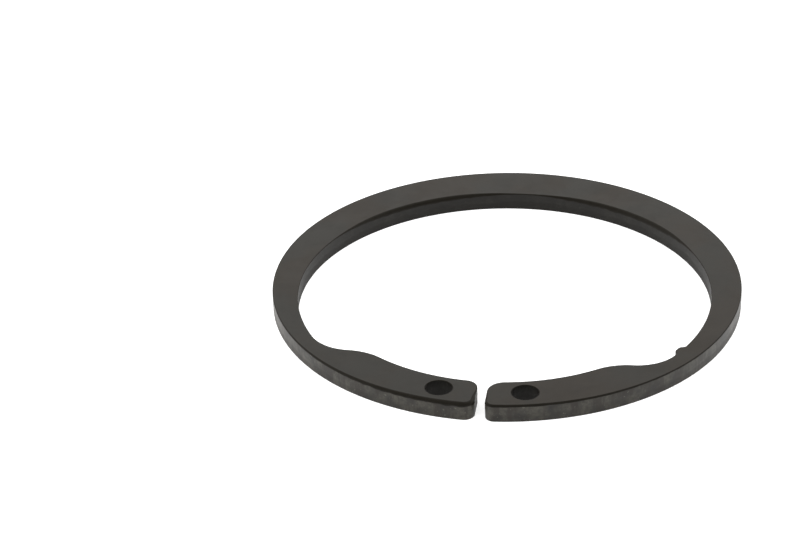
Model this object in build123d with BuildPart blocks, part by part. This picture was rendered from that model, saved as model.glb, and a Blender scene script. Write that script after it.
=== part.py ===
from build123d import *
from math import atan2, degrees, sqrt
import os

# Inverted retaining ring for a groove in a 40 mm shaft: one flat stamping of spring steel, open at a
# gap between two lugs. The lugs point inwards, so the outer edge is one plain circle.
# Millimetres. The origin is on the ring's axis at its bottom face, +Z goes up through the
# thickness, and the gap is at -Y.

# The blank
outer_radius = 22.8
thickness = 1.75

# Radial widths of the band, from the outer edge inwards
back_width = 4.75               # opposite the gap
lug_width = 4.11                # at the gap

# The opening: an eccentric bore round the back and sides, and a smaller seat arc across the lugs
bore_shift = 1.93               # centre of the bore, towards the gap
seat_shift = 1.28               # centre of the seat arc, towards the gap
lug_depth = 8.4                 # from the outer edge at the gap up to the flanks of the lugs
heel_radius = 5.5               # rounded heel of each lug, between its seat arc and its flank

# The gap and the rounded toes of the lugs beside it
gap_width = 0.92
left_inner_toe_radius = 1.2
left_outer_toe_radius = 1.0
right_inner_toe_radius = 1.65
right_outer_toe_radius = 0.85

# Holes in the lugs for the points of the pliers
plier_hole_radius = 1.28
plier_hole_spacing = 7.96       # from centre to centre
plier_hole_shift = 0.15         # from the middle of the lug's width, towards the axis

# The small nib that the punch leaves on the bore's edge
nib_distance = 1.15             # along the bore's edge, from where the bore starts
nib_radius = 0.7
nib_height = 0.39
nib_root_radius = 0.35

# Edges: rounded by the die on the upper side, and only broken on the lower side
die_roll = 0.2
hole_roll = 0.05
lower_break = 0.06

# The opening's arcs, each tangent to the next
bore_radius = outer_radius - back_width + bore_shift
seat_radius = outer_radius - lug_width - seat_shift
flank_y = lug_depth - outer_radius
heel_y = flank_y - heel_radius
flank_x = sqrt((seat_radius + heel_radius) ** 2 - (heel_y + seat_shift) ** 2)
bore_rise = flank_y + bore_shift
root_radius = (bore_radius**2 - bore_rise**2 - flank_x**2) / (2 * (bore_radius + bore_rise))
root_y = flank_y + root_radius
heel_bearing = degrees(atan2(heel_y + seat_shift, flank_x))
root_bearing = degrees(atan2(root_y + bore_shift, flank_x))
nib_bearing = root_bearing + degrees(nib_distance / bore_radius)

plier_hole_circle = outer_radius - lug_width / 2 - plier_hole_shift
plier_hole_x = plier_hole_spacing / 2
plier_hole_y = -sqrt(plier_hole_circle**2 - plier_hole_x**2)

with BuildSketch() as opening:
    with BuildLine():
        CenterArc((0, -seat_shift), seat_radius, -90, heel_bearing + 90)
        CenterArc((flank_x, heel_y), heel_radius, heel_bearing + 180, -heel_bearing - 90)
        CenterArc((flank_x, root_y), root_radius, -90, root_bearing + 90)
        CenterArc((0, -bore_shift), bore_radius, root_bearing, 90 - root_bearing)
        mirror(about=Plane.YZ)
    make_face()

with BuildSketch() as outline:
    Circle(outer_radius)
    add(opening.sketch, mode=Mode.SUBTRACT)

    # The nib: the crest of a small disc that stands in the band
    with Locations((0, -bore_shift)):
        with PolarLocations(bore_radius + nib_radius - nib_height, 1, start_angle=nib_bearing) as nib:
            Circle(nib_radius)

    # The gap
    with Locations((0, -outer_radius)):
        Rectangle(gap_width, 3 * lug_width, mode=Mode.SUBTRACT)

    with Locations((-plier_hole_x, plier_hole_y), (plier_hole_x, plier_hole_y)):
        Circle(plier_hole_radius, mode=Mode.SUBTRACT)

with BuildPart() as retaining_ring:
    add(outline.sketch)
    extrude(amount=thickness)

    # The nib's roots and the toes, rounded through the whole thickness
    nib_axis = nib.locations[0].position + Vector(0, 0, thickness / 2)
    nib_roots = retaining_ring.edges().filter_by(Axis.Z).sort_by_distance(nib_axis)[:2]
    fillet(nib_roots, nib_root_radius)
    for side, inner_toe_radius, outer_toe_radius in (
        (0, left_inner_toe_radius, left_outer_toe_radius),
        (-1, right_inner_toe_radius, right_outer_toe_radius),
    ):
        for corner, toe_radius in ((0, outer_toe_radius), (-1, inner_toe_radius)):
            gap_face = retaining_ring.faces().filter_by(Axis.X).sort_by(Axis.X)[side]
            fillet(gap_face.edges().filter_by(Axis.Z).sort_by(Axis.Y)[corner], toe_radius)

    upper_face = retaining_ring.faces().sort_by(Axis.Z)[-1]
    lower_face = retaining_ring.faces().sort_by(Axis.Z)[0]
    fillet(upper_face.outer_wire().edges(), die_roll)
    fillet(upper_face.inner_wires().edges(), hole_roll)
    chamfer(lower_face.outer_wire().edges(), lower_break)

retaining_ring.part.label = "retaining_ring"
os.makedirs("parts", exist_ok=True)
export_step(retaining_ring.part, "parts/retaining_ring.step")
print(f"retaining_ring: volume {retaining_ring.part.volume:.1f} mm3, root radius {root_radius:.2f} mm")
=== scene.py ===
"""Inverted retaining ring for a 40 mm shaft, stamped from spring steel and phosphated.

The ring's axis is Z, its lower face lies at Z = 0 and the gap between its lugs is at -Y. Metres.
"""

from math import atan2, cos, exp, pi, radians, sin, sqrt

import bmesh
import bpy
from mathutils import Matrix, Vector, noise


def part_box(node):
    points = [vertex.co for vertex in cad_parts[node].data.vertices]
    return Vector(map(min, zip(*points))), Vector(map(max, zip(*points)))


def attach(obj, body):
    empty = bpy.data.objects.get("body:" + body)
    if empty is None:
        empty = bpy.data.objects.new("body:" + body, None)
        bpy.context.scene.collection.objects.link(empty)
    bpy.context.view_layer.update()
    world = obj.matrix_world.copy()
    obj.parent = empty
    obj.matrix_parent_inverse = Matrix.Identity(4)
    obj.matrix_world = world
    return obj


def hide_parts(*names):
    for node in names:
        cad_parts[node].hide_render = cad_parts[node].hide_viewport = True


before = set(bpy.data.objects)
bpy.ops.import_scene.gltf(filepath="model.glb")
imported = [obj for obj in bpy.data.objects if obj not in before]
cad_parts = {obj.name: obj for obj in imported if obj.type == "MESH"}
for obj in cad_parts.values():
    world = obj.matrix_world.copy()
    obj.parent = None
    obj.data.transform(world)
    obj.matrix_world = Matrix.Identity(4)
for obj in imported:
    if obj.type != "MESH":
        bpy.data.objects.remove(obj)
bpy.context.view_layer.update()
NODE = "retaining_ring"
RING_LOW, RING_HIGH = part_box(NODE)

bl_info = {
    "name": "Retaining Ring",
    "version": (1, 0, 0),
    "blender": (4, 5, 0),
    "location": "View3D > Sidebar > Ring",
    "description": "Builds a stamped and phosphated retaining ring with its stage",
    "category": "Add Mesh",
}

MM = 0.001
UP = Vector((0, 0, 1))
ORIGIN = Vector((0, 0))

# The ring's mesh
ROLL, EDGE = 1, 2  # material slots, after the flat faces' own
NIB_SIDE = 1  # the nib is on the lug at +X
FEWEST_STEPS = 8  # in an arc of the outline
PLATE_ROWS = 16
ROLL_ROWS = 6
LAND_ROWS = 4
TORN_ROWS = 6
LAND_SHARE = 0.5  # of the thickness: where the land ends and the torn part starts
LAND_WANDER = 0.16
LAND_WAVES = 420.0
TEAR_WAVES = 900.0
ROLL_WANDER = 0.3  # of the die roll: how unevenly it ends
ROLL_WAVES = 1500.0
RELIEF_WAVES = 3500.0
LUG_SPREAD = radians(38)  # how far the wide roll of the lugs reaches from the gap
BORE_ROLL_AT = radians(145)  # the middle of the bore's wide roll, from the gap
BORE_SPREAD = radians(26)  # how far the bore's wide roll reaches from its middle
WELD = 2e-7
SHARP_ANGLE = radians(38)

# The finish: noise scales in waves per metre, bumps in metres
FACE_SPECULAR = 0.265
FACE_ROUGHNESS = 0.36
FACE_PATCHES = 130.0
FACE_RUBBING = 260.0
FACE_GRAIN = 5200.0
FACE_CONTRAST = 0.35
FACE_BUMP = 0.0022 * MM
# With the roll colour, the low specular level paints part of the die rolls' dark band of reflection
ROLL_SPECULAR = 0.1
ROLL_PATCHES = 900.0
EDGE_SPECULAR = 0.31
EDGE_ROUGHNESS = 0.42
EDGE_PATCHES = 560.0
EDGE_GRAIN = 2600.0
EDGE_CONTRAST = 1.5
EDGE_BUMP = 0.008 * MM
STREAKS = 1150.0
STREAK_STRETCH = 0.2  # of the scale across, along the thickness
CRYSTALS = 3000.0
TORN_STAIN = 0.15  # how much the torn part is stained
TORN_DULLNESS = 0.06
BORE_SHADE_SHARE = 0.85  # how much of the bore colour, which is painted shade, the edge takes in the bore and the plier holes
BORE_DULLNESS = 0.18

# The stage
FLOOR_SIZE = 3.0
FLOOR_GAP = 0.02 * MM
FLOOR_ROUGHNESS = 0.8
FLOOR_LIFT = 0.6
LAMP_SIZE = 0.9
LAMPS = (
    ("softbox_left", (-0.4, -0.35, 0.7), 7.0),
    ("softbox_right", (0.45, -0.1, 0.7), 4.9),
)
WHITE = (1.0, 1.0, 1.0, 1.0)
DARK_HEIGHT = radians(52)  # the dark part of the studio, above and behind the camera
DARK_REACH = radians(48)
WHITE_BEYOND = radians(66)
STUDIO_COLOUR = (1.0, 0.985, 0.95, 1.0)
SENSOR_WIDTH = 36.0
CLIP_START = 0.01
CLIP_END = 10.0


def length(name, description, millimetres):
    """A size that a user may change, kept in metres."""
    return bpy.props.FloatProperty(
        name=name,
        description=description,
        default=millimetres * MM,
        precision=5,
        unit="LENGTH",
        subtype="DISTANCE",
    )


def colour(name, description, *value):
    """A linear colour that a user may change."""
    return bpy.props.FloatVectorProperty(
        name=name, description=description, default=value, min=0.0, max=1.0, subtype="COLOR"
    )


def turn(name, description, degree):
    """An angle that a user may change, kept in radians."""
    return bpy.props.FloatProperty(
        name=name,
        description=description,
        default=radians(degree),
        unit="ROTATION",
        subtype="ANGLE",
    )


# ---------------------------------------------------------------------------------------------
# Settings
# ---------------------------------------------------------------------------------------------


class RingSizes(bpy.types.PropertyGroup):
    """The ring's outline and edges."""

    back_width: length("Back width", "Radial width opposite the gap", 4.75)
    lug_width: length("Lug width", "Radial width at the gap", 4.11)
    bore_shift: length("Bore shift", "From the axis to the bore's centre, towards the gap", 1.93)
    seat_shift: length("Seat shift", "From the axis to the seats' centre, towards the gap", 1.28)
    lug_depth: length("Lug depth", "From the outer edge at the gap to the flanks", 8.4)
    heel_radius: length("Heel radius", "Round between a lug's seat and its flank", 5.5)
    gap_width: length("Gap width", "Between the ends of the lugs", 0.92)
    left_inner_toe: length("Left inner toe", "Round of the left lug's inner corner", 1.2)
    left_outer_toe: length("Left outer toe", "Round of the left lug's outer corner", 1.0)
    right_inner_toe: length("Right inner toe", "Round of the right lug's inner corner", 1.65)
    right_outer_toe: length("Right outer toe", "Round of the right lug's outer corner", 0.85)
    hole_radius: length("Plier hole radius", "Radius of the holes in the lugs", 1.28)
    hole_spacing: length("Plier hole spacing", "From centre to centre", 7.96)
    hole_shift: length("Plier hole shift", "From the lug's middle towards the axis", 0.15)
    nib_distance: length("Nib distance", "From the bore's start to the nib's middle", 1.15)
    nib_height: length("Nib height", "How far the nib stands in from the bore", 0.44)
    nib_front: length("Nib front", "From the nib's middle to its foot towards the gap", 0.85)
    nib_back: length("Nib back", "From the nib's middle to its foot away from the gap", 0.78)
    outer_roll: length("Outer die roll", "Round of the upper outer edge at the back", 0.08)
    left_lug_roll: length("Left lug die roll", "Round of the left lug's upper outer edge", 0.36)
    right_lug_roll: length("Right lug die roll", "Round of the right lug's upper outer edge", 0.2)
    bore_roll: length("Bore die roll", "Round of the upper inner edge along the bore's sides", 0.36)
    seat_roll: length("Seat die roll", "Round of the upper inner edge elsewhere", 0.06)
    hole_roll: length("Hole die roll", "Round of the plier holes' upper rims", 0.05)
    lower_break: length("Lower break", "Break of the lower edges", 0.035)
    fracture_depth: length("Fracture depth", "How far the torn part of an edge lies in", 0.012)
    relief: length("Relief", "Roughness of the torn part", 0.006)
    spacing: length("Mesh spacing", "Distance between the mesh's stations", 0.18)


class RingColours(bpy.types.PropertyGroup):
    """The ring's and the floor's colours."""

    face: colour("Face", "Phosphate on the flat faces", 0.0135, 0.0122, 0.0098)
    stain: colour("Stain", "Warmer patches of the phosphate", 0.0155, 0.0118, 0.0082)
    # The roll colour is a painted dark reflection along the die rolls, a shade darker than the face
    roll: colour("Roll", "Burnished phosphate on the die rolls", 0.012, 0.0105, 0.008)
    edge: colour("Edge", "Phosphate on the sheared edges", 0.0425, 0.0394, 0.0312)
    # The bore colour is painted shade: the bore's edge and the plier holes take it
    bore: colour("Bore", "Phosphate on the bore and in the holes", 0.004, 0.0034, 0.0022)
    speck: colour("Speck", "Bare crystals on the sheared edges", 0.1, 0.096, 0.08)
    floor: colour("Floor", "The pale floor", 0.8, 0.8, 0.8)


class StageSettings(bpy.types.PropertyGroup):
    """Where the camera stands."""

    view_bearing: turn("View bearing", "Turn of the camera round the ring's axis", 9.01)
    view_elevation: turn("View elevation", "Height of the camera above the horizon", 29.42)
    view_roll: turn("View roll", "Tilt of the camera about its own axis", -1.63)
    view_distance: length("View distance", "From the camera to the ring", 275.5)
    ring_right: length("Ring right", "Place of the ring, right of the view's middle", 10.364)
    ring_down: length("Ring down", "Place of the ring, below the view's middle", 1.39)
    lens: bpy.props.FloatProperty(
        name="Lens", description="Focal length in millimetres", default=127.2, unit="CAMERA"
    )


# ---------------------------------------------------------------------------------------------
# The ring's outline
# ---------------------------------------------------------------------------------------------


def bearing(point):
    """Direction of a point from the ring's axis."""
    return atan2(point[1], point[0])


def on_circle(middle, radius, angle):
    return middle + radius * Vector((cos(angle), sin(angle)))


def outline_arcs(sizes, outer_radius, inner_toe_radius, outer_toe_radius):
    """The arcs of one half of the outline, from the gap's face at +X to the back.

    Each is (centre, radius, first angle, sweep, facing), where facing is 1 if the steel lies
    inside the arc and -1 if it lies outside. The inner and the outer edge have as many arcs: the
    toe, then the stretches beside the seat, the heel, the root and the bore.
    """
    half_gap = sizes.gap_width / 2
    bore_radius = outer_radius - sizes.back_width + sizes.bore_shift
    seat_radius = outer_radius - sizes.lug_width - sizes.seat_shift
    seat = Vector((0, -sizes.seat_shift))
    bore = Vector((0, -sizes.bore_shift))

    flank_y = sizes.lug_depth - outer_radius
    heel_y = flank_y - sizes.heel_radius
    flank_x = sqrt((seat_radius + sizes.heel_radius) ** 2 - (heel_y - seat.y) ** 2)
    rise = flank_y - bore.y
    root_radius = (bore_radius**2 - rise**2 - flank_x**2) / (2 * (bore_radius + rise))
    heel = Vector((flank_x, heel_y))
    root = Vector((flank_x, flank_y + root_radius))

    inner_x = half_gap + inner_toe_radius
    inner_toe = Vector((inner_x, seat.y - sqrt((seat_radius + inner_toe_radius) ** 2 - inner_x**2)))
    outer_x = half_gap + outer_toe_radius
    outer_toe = Vector((outer_x, -sqrt((outer_radius - outer_toe_radius) ** 2 - outer_x**2)))

    from_seat = bearing(inner_toe - seat)
    to_heel = bearing(heel - seat)
    to_root = bearing(root - bore)
    inner = [
        (inner_toe, inner_toe_radius, pi, from_seat, 1),
        (seat, seat_radius, from_seat, to_heel - from_seat, -1),
        (heel, sizes.heel_radius, to_heel + pi, -pi / 2 - to_heel, 1),
        (root, root_radius, -pi / 2, to_root + pi / 2, -1),
        (bore, bore_radius, to_root, pi / 2 - to_root, -1),
    ]

    # Beyond the toe the outer edge turns through the inner one's bearings, so that the stations
    # run radially
    turns = [bearing(outer_toe)]
    for middle, radius, first, sweep, _ in inner[1:]:
        turns.append(bearing(on_circle(middle, radius, first + sweep)))
    outer = [(outer_toe, outer_toe_radius, pi, pi + turns[0], 1)]
    outer += [(ORIGIN, outer_radius, a, b - a, 1) for a, b in zip(turns, turns[1:])]
    return inner, outer


def nib_profile(sizes, along):
    """Height and slope of the nib at a distance from its middle: flat on top, steep at its feet."""
    reach = sizes.nib_back if along > 0 else sizes.nib_front
    if abs(along) >= reach:
        return 0.0, 0.0
    share = along / reach
    fall = 1 - share**4
    return sizes.nib_height * fall**2, -8 * sizes.nib_height / reach * share**3 * fall


def from_gap(point):
    """Angle at the ring's axis between a point and the gap."""
    return abs(atan2(point[0], -point[1]))


def outer_roll(sizes, side, point):
    """Die roll of the outer edge: wide at the lugs, most of all at the left one."""
    near = exp(-((from_gap(point) / LUG_SPREAD) ** 2))
    lug_roll = sizes.right_lug_roll if side > 0 else sizes.left_lug_roll
    return sizes.outer_roll + (lug_roll - sizes.outer_roll) * near


def inner_roll(sizes, point):
    """Die roll of the inner edge: wide where the bore's sides meet its back."""
    near = exp(-(((from_gap(point) - BORE_ROLL_AT) / BORE_SPREAD) ** 4))
    return sizes.seat_roll + (sizes.bore_roll - sizes.seat_roll) * near


class Rim:
    """Layers that hold a rim vertex's point on the outline and how the edge runs down from it."""

    def __init__(self, bm):
        vectors = bm.verts.layers.float_vector
        floats = bm.verts.layers.float
        self.point = vectors.get("point") or vectors.new("point")
        self.outward = vectors.get("outward") or vectors.new("outward")
        self.roll = floats.get("roll") or floats.new("roll")
        self.inside = floats.get("inside") or floats.new("inside")
        self.torn = floats.get("torn") or floats.new("torn")

    def note(self, vert, outward, roll, inside):
        """Notes a vertex that lies on the outline."""
        vert[self.point] = vert.co
        vert[self.outward] = outward.to_3d()
        vert[self.roll] = roll
        vert[self.inside] = inside

    def place(self, vert, inset, height):
        """Puts a vertex at a height, moved in from the outline."""
        vert.co = vert[self.point] - inset * vert[self.outward] + height * UP

    def mirror(self, vert):
        """Mirrors a vertex across the plane through the gap."""
        vert.co.x = -vert.co.x
        for layer in (self.point, self.outward):
            x, y, z = vert[layer]
            vert[layer] = (-x, y, z)


def draw_chain(bm, arcs, steps):
    """Spins a vertex along the arcs. Returns the chain as (vertex, outward side)."""
    middle, radius, first, sweep, facing = arcs[0]
    start = on_circle(middle, radius, first)
    vert = bm.verts.new((start.x, start.y, 0))
    chain = []
    for (middle, radius, first, sweep, facing), count in zip(arcs, steps):
        for step in range(count):
            chain.append((vert, facing * on_circle(ORIGIN, 1, first + sweep * step / count)))
            spun = bmesh.ops.spin(
                bm, geom=[vert], cent=(middle.x, middle.y, 0), axis=UP, angle=sweep / count, steps=1
            )
            vert = next(g for g in spun["geom_last"] if isinstance(g, bmesh.types.BMVert))
    chain.append((vert, facing * on_circle(ORIGIN, 1, first + sweep)))
    return chain


def raise_nib(sizes, chain, spacing):
    """Pushes the nib's crest out of the bore's chain. Returns the chain with its turned sides."""
    turned = []
    for place, (vert, outward) in enumerate(chain):
        height, slope = nib_profile(sizes, place * spacing - sizes.nib_distance)
        vert.co += height * outward.to_3d()
        tangent = Vector((outward.y, -outward.x))
        turned.append((vert, (outward - slope * tangent).normalized()))
    return turned


def pierce(bm, rim, sizes, outer_radius):
    """Opens the plier hole: the faces near it make way for a ring of faces round its rim."""
    circle = outer_radius - sizes.lug_width / 2 - sizes.hole_shift
    across = sizes.hole_spacing / 2
    centre = Vector((across, -sqrt(circle**2 - across**2), 0))
    clearing = sizes.hole_radius + sizes.spacing
    near = [f for f in bm.faces if any((v.co - centre).length < clearing for v in f.verts)]
    brink = [e for f in near for e in f.edges if any(g not in near for g in e.link_faces)]
    bmesh.ops.delete(bm, geom=near, context="FACES")
    grown = bmesh.ops.extrude_edge_only(bm, edges=brink)["geom"]
    ring = [g for g in grown if isinstance(g, bmesh.types.BMVert)]
    ring.sort(key=lambda v: bearing(v.co - centre))
    step = 2 * pi / len(ring)
    start = sum(bearing(v.co - centre) - i * step for i, v in enumerate(ring)) / len(ring)
    for i, vert in enumerate(ring):
        ray = on_circle(ORIGIN, 1, start + i * step)
        vert.co = centre + sizes.hole_radius * ray.to_3d()
        # The holes count as inside, so their edge takes the painted shade of the bore colour
        rim.note(vert, -ray, sizes.hole_roll, 1)
        rim.place(vert, sizes.hole_roll, 0)


def half_plate(sizes, outer_radius, side, inner_toe_radius, outer_toe_radius):
    """One half of the flat plate as a grid of quads: side is 1 at +X and -1 at -X."""
    bm = bmesh.new()
    rim = Rim(bm)
    inner, outer = outline_arcs(sizes, outer_radius, inner_toe_radius, outer_toe_radius)
    steps = [max(FEWEST_STEPS, round(abs(arc[1] * arc[3]) / sizes.spacing)) for arc in inner]
    inner_chain = draw_chain(bm, inner, steps)
    outer_chain = draw_chain(bm, outer, steps)
    if side == NIB_SIDE:
        _, bore_radius, _, bore_sweep, _ = inner[-1]
        before = sum(steps[:-1])
        spacing = bore_radius * bore_sweep / steps[-1]
        inner_chain[before:] = raise_nib(sizes, inner_chain[before:], spacing)
    for vert, outward in inner_chain:
        rim.note(vert, outward, inner_roll(sizes, vert.co), 1)
    for vert, outward in outer_chain:
        rim.note(vert, outward, outer_roll(sizes, side, vert.co), 0)
    for vert in bm.verts:
        rim.place(vert, vert[rim.roll], 0)

    chains = bm.edges[:]
    bmesh.ops.bridge_loops(bm, edges=chains)
    chains = set(chains)
    rungs = [e for e in bm.edges if e not in chains]
    bmesh.ops.subdivide_edges(bm, edges=rungs, cuts=PLATE_ROWS - 1, use_grid_fill=True)
    pierce(bm, rim, sizes, outer_radius)
    if side < 0:
        for vert in bm.verts:
            rim.mirror(vert)
    mesh = bpy.data.meshes.new("half_plate")
    bm.to_mesh(mesh)
    bm.free()
    return mesh


def edge_profile(sizes, thickness, rim, vert):
    """The rows of a sheared edge below a rim vertex, as (inset, height, torn).

    From the top: the die roll, the burnished land, the torn part that leans in, and the break.
    """
    x, y, _ = vert[rim.point]
    roll = vert[rim.roll]
    place = Vector((x, y, 0))
    land_end = thickness * (LAND_SHARE + LAND_WANDER * noise.noise(place * LAND_WAVES))
    tear = sizes.fracture_depth * (1 + noise.noise(place * TEAR_WAVES))
    drop = roll * (1 + ROLL_WANDER * noise.noise(place * ROLL_WAVES))
    rows = []
    for i in range(1, ROLL_ROWS + 1):
        angle = i / ROLL_ROWS * pi / 2
        rows.append((roll * (1 - sin(angle)), thickness - drop * (1 - cos(angle)), 0))
    for i in range(1, LAND_ROWS + 1):
        share = i / LAND_ROWS
        rows.append((0, (thickness - drop) * (1 - share) + land_end * share, 0))
    for i in range(1, TORN_ROWS + 1):
        share = i / TORN_ROWS
        height = land_end + (sizes.lower_break - land_end) * share
        rough = sizes.relief * (1 + noise.noise(Vector((x, y, height / 3)) * RELIEF_WAVES))
        rows.append((tear * min(1, 2 * share) + rough, height, 1))
    rows.append((sizes.fracture_depth + sizes.lower_break, 0, 1))
    return rows


def build_ring(sizes, outer_radius, thickness):
    """The whole ring as one closed bmesh."""
    bm = bmesh.new()
    for half in (
        half_plate(sizes, outer_radius, 1, sizes.right_inner_toe, sizes.right_outer_toe),
        half_plate(sizes, outer_radius, -1, sizes.left_inner_toe, sizes.left_outer_toe),
    ):
        bm.from_mesh(half)
        bpy.data.meshes.remove(half)
    rim = Rim(bm)
    bmesh.ops.remove_doubles(bm, verts=bm.verts, dist=WELD)
    bmesh.ops.recalc_face_normals(bm, faces=bm.faces)
    # A narrow border keeps the flat faces flat in smooth shading
    bmesh.ops.inset_region(bm, faces=bm.faces, thickness=sizes.hole_roll / 2, use_boundary=True)

    # The lower face is a copy of the upper one with its rim moved out to the break
    upper = bm.faces[:]
    lower = set(bmesh.ops.duplicate(bm, geom=upper)["geom"])
    brink = [e for e in bm.edges if e.is_boundary]
    for vert in {v for e in brink if e in lower for v in e.verts}:
        rim.place(vert, sizes.fracture_depth + sizes.lower_break, 0)
    for vert in {v for f in upper for v in f.verts}:
        vert.co.z = thickness

    brink = [e for e in brink if e not in lower]
    profiles = {
        tuple(v[rim.point]): edge_profile(sizes, thickness, rim, v) for e in brink for v in e.verts
    }
    for row in range(ROLL_ROWS + LAND_ROWS + TORN_ROWS + 1):
        grown = bmesh.ops.extrude_edge_only(bm, edges=brink)["geom"]
        brink = [g for g in grown if isinstance(g, bmesh.types.BMEdge)]
        for vert in {v for e in brink for v in e.verts}:
            inset, height, torn = profiles[tuple(vert[rim.point])][row]
            rim.place(vert, inset, height)
            vert[rim.torn] = torn
        for face in grown:
            if isinstance(face, bmesh.types.BMFace):
                face.material_index = ROLL if row < ROLL_ROWS else EDGE
    bmesh.ops.remove_doubles(bm, verts=bm.verts, dist=WELD)
    bmesh.ops.recalc_face_normals(bm, faces=bm.faces)
    for face in bm.faces:
        face.smooth = True
    for name in ("point", "outward"):
        bm.verts.layers.float_vector.remove(bm.verts.layers.float_vector[name])
    bm.verts.layers.float.remove(bm.verts.layers.float["roll"])
    return bm


# ---------------------------------------------------------------------------------------------
# Materials
# ---------------------------------------------------------------------------------------------


def add_node(tree, kind, **inputs):
    """Adds a node. An input is a socket to link from or a value to set."""
    node = tree.nodes.new(kind)
    for name, value in inputs.items():
        feed(tree, node.inputs[name.replace("_", " ")], value)
    return node


def feed(tree, socket, value):
    if isinstance(value, bpy.types.NodeSocket):
        tree.links.new(value, socket)
    else:
        socket.default_value = value


def noise_of(tree, coordinates, scale, detail=2.0, roughness=0.5, distortion=0.0):
    texture = add_node(
        tree,
        "ShaderNodeTexNoise",
        Vector=coordinates,
        Scale=scale,
        Detail=detail,
        Roughness=roughness,
        Distortion=distortion,
    )
    return texture.outputs["Fac"]


def remap(tree, value, low, high, to_low=0.0, to_high=1.0):
    """Maps low..high to to_low..to_high, smoothly and clamped."""
    node = add_node(
        tree,
        "ShaderNodeMapRange",
        Value=value,
        From_Min=low,
        From_Max=high,
        To_Min=to_low,
        To_Max=to_high,
    )
    node.interpolation_type = "SMOOTHSTEP"
    return node.outputs["Result"]


def compute(tree, operation, first, second):
    node = tree.nodes.new("ShaderNodeMath")
    node.operation = operation
    feed(tree, node.inputs[0], first)
    feed(tree, node.inputs[1], second)
    return node.outputs[0]


def blend(tree, factor, first, second):
    """Mixes two colours."""
    node = tree.nodes.new("ShaderNodeMix")
    node.data_type = "RGBA"
    for name, value in (("Factor", factor), ("A", first), ("B", second)):
        socket = next(s for s in node.inputs if s.name == name and s.enabled)
        feed(tree, socket, value)
    return next(s for s in node.outputs if s.enabled)


def attribute(tree, name):
    node = tree.nodes.new("ShaderNodeAttribute")
    node.attribute_name = name
    return node.outputs["Fac"]


def new_group(name, inputs, outputs):
    """A shader node group with its sockets. Returns the group and its input and output nodes."""
    group = bpy.data.node_groups.new(name, "ShaderNodeTree")
    for direction, sockets in (("INPUT", inputs), ("OUTPUT", outputs)):
        for label, kind in sockets:
            group.interface.new_socket(name=label, in_out=direction, socket_type=kind)
    source = group.nodes.new("NodeGroupInput")
    sink = group.nodes.new("NodeGroupOutput")
    return group, source, sink


def phosphate_group():
    """Phosphate crystals: drifting patches of a second colour, and a fine grain."""
    group, source, sink = new_group(
        "phosphate",
        [
            ("Vector", "NodeSocketVector"),
            ("Base", "NodeSocketColor"),
            ("Patches", "NodeSocketColor"),
            ("Patch Scale", "NodeSocketFloat"),
            ("Grain Scale", "NodeSocketFloat"),
            ("Contrast", "NodeSocketFloat"),
        ],
        [("Colour", "NodeSocketColor"), ("Grain", "NodeSocketFloat")],
    )
    place = source.outputs["Vector"]
    patches = noise_of(group, place, source.outputs["Patch Scale"], detail=3.0, roughness=0.55)
    patch = remap(group, patches, 0.4, 0.62)
    grain = noise_of(group, place, source.outputs["Grain Scale"], detail=3.0, roughness=0.65)
    mottle = noise_of(group, place, compute(group, "MULTIPLY", source.outputs["Patch Scale"], 4.0))
    level = 1.0
    for texture in (mottle, grain):
        swing = compute(group, "SUBTRACT", texture, 0.5)
        level = compute(
            group, "ADD", compute(group, "MULTIPLY", swing, source.outputs["Contrast"]), level
        )
    colour = blend(group, patch, source.outputs["Base"], source.outputs["Patches"])
    tone = add_node(group, "ShaderNodeVectorMath", Vector=colour)
    tone.operation = "SCALE"
    feed(group, tone.inputs["Scale"], level)
    feed(group, sink.inputs["Colour"], tone.outputs["Vector"])
    feed(group, sink.inputs["Grain"], grain)
    return group


def phosphate(tree, group, **inputs):
    """Adds the phosphate group to a material."""
    node = tree.nodes.new("ShaderNodeGroup")
    node.node_tree = group
    for name, value in inputs.items():
        feed(tree, node.inputs[name.replace("_", " ")], value)
    return node


def opaque(rgb):
    return (rgb[0], rgb[1], rgb[2], 1.0)


def start_material(name, specular):
    """A material with its tree, its Principled BSDF and the object's coordinates."""
    material = bpy.data.materials.new(name)
    material.use_nodes = True
    tree = material.node_tree
    shader = tree.nodes["Principled BSDF"]
    shader.inputs["Specular IOR Level"].default_value = specular
    coordinates = tree.nodes.new("ShaderNodeTexCoord").outputs["Object"]
    return material, tree, shader, coordinates


def raise_surface(tree, shader, height, distance):
    """Bumps the surface by a height texture."""
    bump = add_node(tree, "ShaderNodeBump", Strength=1.0, Distance=distance, Height=height)
    feed(tree, shader.inputs["Normal"], bump.outputs["Normal"])


def face_material(group, colours):
    """The flat faces: smooth, dark phosphate with faint warmer patches."""
    material, tree, shader, place = start_material("phosphated_face", FACE_SPECULAR)
    coat = phosphate(
        tree,
        group,
        Vector=place,
        Base=opaque(colours.face),
        Patches=opaque(colours.stain),
        Patch_Scale=FACE_PATCHES,
        Grain_Scale=FACE_GRAIN,
        Contrast=FACE_CONTRAST,
    )
    feed(tree, shader.inputs["Base Color"], coat.outputs["Colour"])
    rubbed = noise_of(tree, place, FACE_RUBBING, detail=3.0, roughness=0.6, distortion=0.6)
    wear = compute(tree, "ADD", remap(tree, rubbed, 0.35, 0.68, -0.04, 0.05), FACE_ROUGHNESS)
    feed(tree, shader.inputs["Roughness"], wear)
    raise_surface(tree, shader, coat.outputs["Grain"], FACE_BUMP)
    return material


def roll_material(colours):
    """The die rolls: darker than the faces, which paints part of the dark band their reflection
    shows, and smoother.
    """
    material, tree, shader, place = start_material("phosphated_roll", ROLL_SPECULAR)
    shader.inputs["Base Color"].default_value = opaque(colours.roll)
    uneven = noise_of(tree, place, ROLL_PATCHES)
    feed(tree, shader.inputs["Roughness"], remap(tree, uneven, 0.3, 0.7, 0.3, 0.4))
    return material


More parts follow.
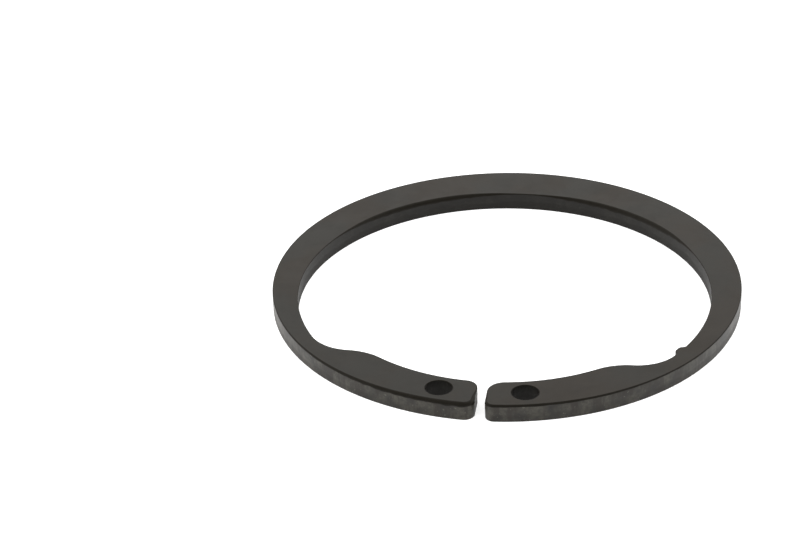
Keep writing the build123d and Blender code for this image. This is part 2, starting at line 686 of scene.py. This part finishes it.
def edge_material(group, colours):
    """The sheared edges: streaked down their height, duller where torn, and darker with painted
    shade in the bore and the plier holes.
    """
    material, tree, shader, place = start_material("phosphated_edge", EDGE_SPECULAR)
    torn = attribute(tree, "torn")
    inside = attribute(tree, "inside")
    coat = phosphate(
        tree,
        group,
        Vector=place,
        Base=opaque(colours.edge),
        Patches=opaque(colours.face),
        Patch_Scale=EDGE_PATCHES,
        Grain_Scale=EDGE_GRAIN,
        Contrast=EDGE_CONTRAST,
    )
    upright = add_node(tree, "ShaderNodeMapping", Vector=place, Scale=(1.0, 1.0, STREAK_STRETCH))
    streaks = noise_of(tree, upright.outputs["Vector"], STREAKS, detail=4.0, roughness=0.62)
    streaked = blend(
        tree,
        remap(tree, streaks, 0.46, 0.6, 0.0, 0.8),
        coat.outputs["Colour"],
        opaque(colours.stain),
    )
    crystals = noise_of(tree, place, CRYSTALS, detail=1.0)
    speckled = blend(
        tree,
        compute(tree, "MULTIPLY", remap(tree, crystals, 0.66, 0.8), 0.6),
        streaked,
        opaque(colours.speck),
    )
    dulled = blend(
        tree,
        compute(tree, "MULTIPLY", torn, TORN_STAIN),
        speckled,
        opaque(colours.stain),
    )
    # Painted shade: the bore's edge and the plier holes are darkened towards the bore colour
    shaded = blend(
        tree, compute(tree, "MULTIPLY", inside, BORE_SHADE_SHARE), dulled, opaque(colours.bore)
    )
    feed(tree, shader.inputs["Base Color"], shaded)
    rough = EDGE_ROUGHNESS
    for part, dullness in ((torn, TORN_DULLNESS), (inside, BORE_DULLNESS)):
        rough = compute(tree, "ADD", compute(tree, "MULTIPLY", part, dullness), rough)
    feed(tree, shader.inputs["Roughness"], rough)
    relief = compute(tree, "ADD", streaks, compute(tree, "MULTIPLY", coat.outputs["Grain"], 0.5))
    raise_surface(tree, shader, relief, EDGE_BUMP)
    return material


def floor_material(colours):
    """A pale floor that shows white, keeps the ring's shadow and can't be seen from below."""
    material = bpy.data.materials.new("floor")
    material.use_nodes = True
    tree = material.node_tree
    shader = tree.nodes["Principled BSDF"]
    shader.inputs["Base Color"].default_value = opaque(colours.floor)
    shader.inputs["Roughness"].default_value = FLOOR_ROUGHNESS
    shader.inputs["Specular IOR Level"].default_value = 0.0
    seen = add_node(tree, "ShaderNodeEmission", Color=WHITE, Strength=FLOOR_LIFT)
    both = tree.nodes.new("ShaderNodeAddShader")
    feed(tree, both.inputs[0], shader.outputs[0])
    feed(tree, both.inputs[1], seen.outputs[0])
    lifted = mix_shaders(tree, backdrop_rays(tree), shader.outputs[0], both.outputs[0])
    clear = tree.nodes.new("ShaderNodeBsdfTransparent").outputs[0]
    below = tree.nodes.new("ShaderNodeNewGeometry").outputs["Backfacing"]
    out = mix_shaders(tree, below, lifted, clear)
    feed(tree, tree.nodes["Material Output"].inputs["Surface"], out)
    return material


def backdrop_rays(tree):
    """1 for the rays that show the backdrop, and 0 for those that carry its light."""
    path = tree.nodes.new("ShaderNodeLightPath")
    glossy, clear = path.outputs["Is Glossy Ray"], path.outputs["Is Transmission Ray"]
    mirrored = compute(tree, "MAXIMUM", glossy, clear)
    return compute(tree, "MAXIMUM", path.outputs["Is Camera Ray"], mirrored)


def mix_shaders(tree, factor, first, second):
    node = tree.nodes.new("ShaderNodeMixShader")
    feed(tree, node.inputs[0], factor)
    feed(tree, node.inputs[1], first)
    feed(tree, node.inputs[2], second)
    return node.outputs[0]


# ---------------------------------------------------------------------------------------------
# The stage
# ---------------------------------------------------------------------------------------------


def add_object(name, data):
    obj = bpy.data.objects.new(name, data)
    bpy.context.scene.collection.objects.link(obj)
    return obj


def add_floor(colours):
    bm = bmesh.new()
    bmesh.ops.create_grid(bm, x_segments=1, y_segments=1, size=FLOOR_SIZE / 2)
    bmesh.ops.translate(bm, verts=bm.verts, vec=(0, 0, -FLOOR_GAP))
    mesh = bpy.data.meshes.new("floor")
    bm.to_mesh(mesh)
    bm.free()
    mesh.materials.append(floor_material(colours))
    add_object("floor", mesh)


def add_softbox(name, place, power):
    """An area lamp that faces the ring and isn't mirrored by it."""
    data = bpy.data.lights.new(name, "AREA")
    data.shape = "SQUARE"
    data.size = LAMP_SIZE
    data.energy = power
    lamp = add_object(name, data)
    lamp.location = place
    lamp.rotation_euler = (-Vector(place)).to_track_quat("-Z", "Y").to_euler()
    lamp.visible_glossy = False


def light_world(view_bearing):
    """A warm white studio, dark above the camera. The backdrop itself shows white."""
    world = bpy.data.worlds.new("studio")
    bpy.context.scene.world = world
    world.use_nodes = True
    tree = world.node_tree
    direction = tree.nodes.new("ShaderNodeTexCoord").outputs["Generated"]
    middle = Vector(
        (
            sin(view_bearing) * cos(DARK_HEIGHT),
            -cos(view_bearing) * cos(DARK_HEIGHT),
            sin(DARK_HEIGHT),
        )
    )
    toward = tree.nodes.new("ShaderNodeVectorMath")
    toward.operation = "DOT_PRODUCT"
    feed(tree, toward.inputs[0], direction)
    feed(tree, toward.inputs[1], middle)
    level = remap(tree, toward.outputs["Value"], cos(WHITE_BEYOND), cos(DARK_REACH), 1.0, 0.0)
    studio = tree.nodes["Background"]
    feed(tree, studio.inputs["Strength"], level)
    studio.inputs["Color"].default_value = STUDIO_COLOUR
    backdrop = add_node(tree, "ShaderNodeBackground", Color=WHITE, Strength=1.0)
    seen = tree.nodes.new("ShaderNodeLightPath").outputs["Is Camera Ray"]
    out = mix_shaders(tree, seen, studio.outputs[0], backdrop.outputs[0])
    feed(tree, tree.nodes["World Output"].inputs["Surface"], out)


def add_camera(settings):
    """A camera that looks down on the ring, which stands off the view's middle."""
    turn_to = (
        Matrix.Rotation(settings.view_bearing, 3, "Z")
        @ Matrix.Rotation(pi / 2 - settings.view_elevation, 3, "X")
        @ Matrix.Rotation(settings.view_roll, 3, "Z")
    )
    data = bpy.data.cameras.new("camera")
    data.lens = settings.lens
    data.sensor_width = SENSOR_WIDTH
    data.clip_start = CLIP_START
    data.clip_end = CLIP_END
    camera = add_object("camera", data)
    back = Vector((-settings.ring_right, settings.ring_down, settings.view_distance))
    camera.matrix_world = (
        Matrix.Translation(Vector((0, 0, RING_HIGH.z)) + turn_to @ back) @ turn_to.to_4x4()
    )
    bpy.context.scene.camera = camera


# ---------------------------------------------------------------------------------------------
# Operators, panel and run
# ---------------------------------------------------------------------------------------------


class RING_OT_build(bpy.types.Operator):
    """Build the retaining ring in place of its frame node"""

    bl_idname = "ring.build"
    bl_label = "Build Ring"

    def execute(self, context):
        sizes = context.scene.ring_sizes
        colours = context.scene.ring_colours
        bm = build_ring(sizes, RING_HIGH.x, RING_HIGH.z - RING_LOW.z)
        if not all(edge.is_manifold for edge in bm.edges):
            raise RuntimeError("the ring's mesh isn't closed")
        mesh = bpy.data.meshes.new("ring")
        bm.to_mesh(mesh)
        bm.free()
        mesh.set_sharp_from_angle(angle=SHARP_ANGLE)
        group = phosphate_group()
        mesh.materials.append(face_material(group, colours))
        mesh.materials.append(roll_material(colours))
        mesh.materials.append(edge_material(group, colours))
        ring = add_object("ring", mesh)
        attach(ring, "root")
        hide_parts(NODE)
        return {"FINISHED"}


class RING_OT_stage(bpy.types.Operator):
    """Set the floor, the studio light and the camera"""

    bl_idname = "ring.stage"
    bl_label = "Set Stage"

    def execute(self, context):
        scene = context.scene
        add_floor(scene.ring_colours)
        for name, place, power in LAMPS:
            add_softbox(name, place, power)
        light_world(scene.ring_stage.view_bearing)
        add_camera(scene.ring_stage)
        scene.view_settings.view_transform = "Standard"
        return {"FINISHED"}


class RING_PT_panel(bpy.types.Panel):
    """Sizes, colours and steps of the ring"""

    bl_label = "Retaining Ring"
    bl_idname = "RING_PT_panel"
    bl_space_type = "VIEW_3D"
    bl_region_type = "UI"
    bl_category = "Ring"

    def draw(self, context):
        for settings in (
            context.scene.ring_sizes,
            context.scene.ring_colours,
            context.scene.ring_stage,
        ):
            box = self.layout.box()
            for name in settings.__annotations__:
                box.prop(settings, name)
        self.layout.operator(RING_OT_build.bl_idname)
        self.layout.operator(RING_OT_stage.bl_idname)


CLASSES = (RingSizes, RingColours, StageSettings, RING_OT_build, RING_OT_stage, RING_PT_panel)


def register():
    for cls in CLASSES:
        bpy.utils.register_class(cls)
    bpy.types.Scene.ring_sizes = bpy.props.PointerProperty(type=RingSizes)
    bpy.types.Scene.ring_colours = bpy.props.PointerProperty(type=RingColours)
    bpy.types.Scene.ring_stage = bpy.props.PointerProperty(type=StageSettings)


def unregister():
    del bpy.types.Scene.ring_stage
    del bpy.types.Scene.ring_colours
    del bpy.types.Scene.ring_sizes
    for cls in reversed(CLASSES):
        bpy.utils.unregister_class(cls)


def main():
    register()
    bpy.ops.ring.build()
    bpy.ops.ring.stage()


if __name__ == "__main__":
    main()
